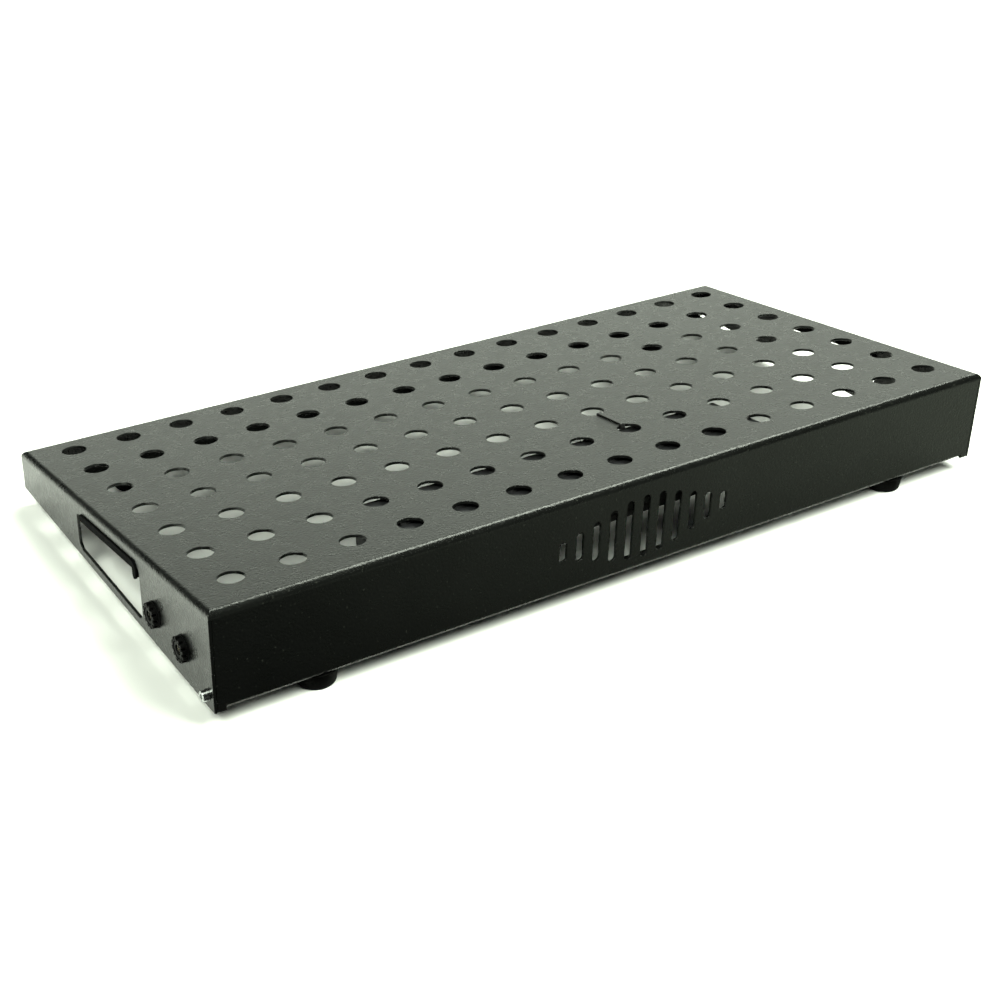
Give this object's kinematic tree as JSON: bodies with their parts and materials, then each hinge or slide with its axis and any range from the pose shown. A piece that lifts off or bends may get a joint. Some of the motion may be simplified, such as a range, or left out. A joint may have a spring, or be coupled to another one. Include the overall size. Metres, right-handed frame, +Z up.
{
  "type": "pedalboard",
  "caption": "Wedge-shaped folded steel pedalboard with a perforated sloping deck, side handle slots, rubber feet, jack sockets and an under-deck power supply.",
  "frame": {"origin": "on the floor plane under the four feet, at the middle of the whole object in X and Y", "axes": "+X along the long walls, from the jack side to the plain side; +Y from the tall wall to the low wall; +Z up"},
  "size_m": [0.6188, 0.308, 0.0778],
  "materials": {
    "powder_coat": "fine-textured satin black powder coat",
    "foot_rubber": "matt moulded rubber",
    "trim_rubber": "matt extruded rubber channel",
    "zinc_steel": "bright zinc plate",
    "tie_nylon": "smooth black nylon",
    "jack_plastic": "matt moulded black plastic",
    "contact_metal": "nickel-plated contact metal",
    "supply_paint": "satin black anodised look",
    "socket_plastic": "black moulded plastic",
    "lamp_lens": "green diffused lens",
    "circuit_board": "solder-masked laminate",
    "converter_epoxy": "potted black case",
    "capacitor_sleeve": "shrink-sleeved can",
    "tape_fabric": "woven hook-and-loop tape"
  },
  "bodies": {
    "chassis": {"cable_tie": "tie_nylon", "corner_nuts": "zinc_steel", "corner_screws": "zinc_steel", "deck_panel": "powder_coat", "foot_low_left": "foot_rubber", "foot_low_right": "foot_rubber", "foot_nuts": "zinc_steel", "foot_screws": "zinc_steel", "foot_tall_left": "foot_rubber", "foot_tall_right": "foot_rubber", "foot_washers": "zinc_steel", "hook_tape": "tape_fabric", "input_jack_body": "jack_plastic", "input_jack_cap": "jack_plastic", "input_jack_nut": "jack_plastic", "input_jack_washer": "jack_plastic", "input_sleeve_contact": "contact_metal", "left_handle_trim": "trim_rubber", "left_wall": "powder_coat", "loop_tape": "tape_fabric", "low_wall": "powder_coat", "output_jack_body": "jack_plastic", "output_jack_cap": "jack_plastic", "output_jack_nut": "jack_plastic", "output_jack_washer": "jack_plastic", "output_sleeve_contact": "contact_metal", "right_handle_trim": "trim_rubber", "right_wall": "powder_coat", "supply_board": "circuit_board", "supply_capacitors": "capacitor_sleeve", "supply_converters": "converter_epoxy", "supply_end_left": "supply_paint", "supply_end_right": "supply_paint", "supply_end_screws": "zinc_steel", "supply_inlet": "socket_plastic", "supply_inlet_pin": "contact_metal", "supply_lamp": "lamp_lens", "supply_outlet_pins": "contact_metal", "supply_outlets": "socket_plastic", "supply_shell": "supply_paint", "tall_wall": "powder_coat"},
    "input_tip_leaf": {"input_tip_spring": "contact_metal"},
    "output_tip_leaf": {"output_tip_spring": "contact_metal"}
  },
  "joints": [
    {"name": "input_tip_flex", "type": "hinge", "parent": "chassis", "child": "input_tip_leaf", "pos_m": [-0.278, -0.075, 0.0386], "axis": [0, 1, 0], "range_deg": [0, 8], "stiffness_Nm_per_rad": 0.15},
    {"name": "output_tip_flex", "type": "hinge", "parent": "chassis", "child": "output_tip_leaf", "pos_m": [-0.278, -0.1164, 0.0386], "axis": [0, 1, 0], "range_deg": [0, 8], "stiffness_Nm_per_rad": 0.15}
  ]
}
